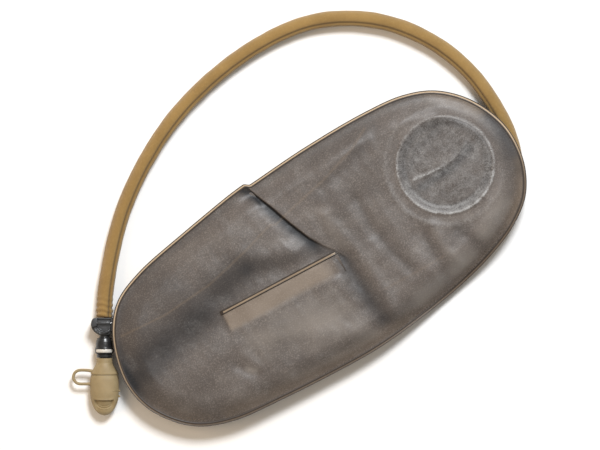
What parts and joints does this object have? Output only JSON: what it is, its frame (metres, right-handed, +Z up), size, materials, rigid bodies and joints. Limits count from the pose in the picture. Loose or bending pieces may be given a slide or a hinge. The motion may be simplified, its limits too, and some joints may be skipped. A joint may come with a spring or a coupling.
{
  "type": "hydration bladder",
  "caption": "Flat soft water reservoir with a screw filler cap, centre baffle, plug-in outlet, sleeved drink tube, shut-off lock and covered bite valve.",
  "frame": {"origin": "under the middle of the bag, on the surface that it lies on", "axes": "+X along the bag towards the filler, +Y across it, +Z up from the surface; the bag lies face down, back film up"},
  "size_m": [0.4841, 0.3102, 0.0287],
  "materials": {
    "film": "smoke-brown translucent film, satin",
    "weld": "doubled film, welded flat",
    "black_plastic": "black moulded plastic, semi-gloss",
    "grey_plastic": "dark grey moulded plastic, satin",
    "cream_plastic": "cream moulded plastic",
    "khaki_rubber": "khaki moulded rubber, matt",
    "silicone": "clear silicone, satin",
    "seal": "black seal rubber",
    "tether": "black soft plastic, matt",
    "hose": "smoke-tinted hose",
    "sleeve": "coyote woven tube cover",
    "steel": "stainless steel"
  },
  "bodies": {
    "reservoir": {"back_film": "film", "front_film": "film", "centre_baffle": "weld", "fill_port": "black_plastic", "cap_tether": "tether", "outlet_port": "black_plastic", "poppet_spring": "steel"},
    "cap_hanger": {"cap_tether_ring": "tether"},
    "cap_seal": {"cap_gasket": "silicone"},
    "cap": {"fill_cap": "black_plastic"},
    "outlet_button": {"release_button": "grey_plastic"},
    "poppet": {"outlet_poppet": "silicone"},
    "drink_line": {"outlet_elbow": "black_plastic", "elbow_o_ring": "seal", "drink_hose": "hose", "tube_sleeve": "sleeve", "lock_housing": "grey_plastic", "lock_pin": "steel", "coupling_socket": "black_plastic"},
    "lever": {"lock_lever": "grey_plastic"},
    "latch_button": {"coupling_button": "cream_plastic"},
    "mouthpiece": {"coupling_plug": "black_plastic", "coupling_o_ring": "seal", "bite_valve": "silicone", "cover_collar": "khaki_rubber", "cover_tether": "khaki_rubber"},
    "cover": {"cover_cap": "khaki_rubber"}
  },
  "joints": [
    {"name": "cap_lift_off", "type": "slide", "parent": "reservoir", "child": "cap_hanger", "axis": [0, 0, -1], "range_m": [0, 0.03], "deforming": ["cap_tether"]},
    {"name": "cap_thread_rise", "type": "slide", "parent": "cap_hanger", "child": "cap_seal", "axis": [0, 0, -1], "range_m": [0, 0.0055]},
    {"name": "cap_turn", "type": "hinge", "parent": "cap_seal", "child": "cap", "pos_m": [0.1485, 0.0114, 0.008], "axis": [0, 0, -1], "range_deg": [0, 450]},
    {"name": "release_press", "type": "slide", "parent": "reservoir", "child": "outlet_button", "axis": [1, 0, 0], "range_m": [0, 0.002], "stiffness_N_per_m": 600},
    {"name": "tube_unplug", "type": "slide", "parent": "reservoir", "child": "drink_line", "axis": [0, 0, -1], "range_m": [0, 0.012]},
    {"name": "poppet_close", "type": "slide", "parent": "reservoir", "child": "poppet", "axis": [0, 0, -1], "range_m": [0, 0.003], "deforming": ["poppet_spring"]},
    {"name": "lock_lever_turn", "type": "hinge", "parent": "drink_line", "child": "lever", "pos_m": [-0.20285, 0.06355, 0.01775], "axis": [-0.8358, 0.549, 0], "range_deg": [0, 80]},
    {"name": "coupling_press", "type": "slide", "parent": "drink_line", "child": "latch_button", "axis": [0, 0, -1], "range_m": [0, 0.0008], "stiffness_N_per_m": 600},
    {"name": "mouthpiece_unplug", "type": "slide", "parent": "drink_line", "child": "mouthpiece", "axis": [-0.549, -0.8358, 0], "range_m": [0, 0.014]},
    {"name": "cover_pull", "type": "slide", "parent": "mouthpiece", "child": "cover", "axis": [-0.549, -0.8358, 0], "range_m": [0, 0.038]}
  ],
  "couplings": [
    {"joint": "cap_thread_rise", "follows": "cap_turn", "m_per_rad": 0.0007},
    {"joint": "poppet_close", "follows": "tube_unplug", "ratio": 0.25}
  ]
}
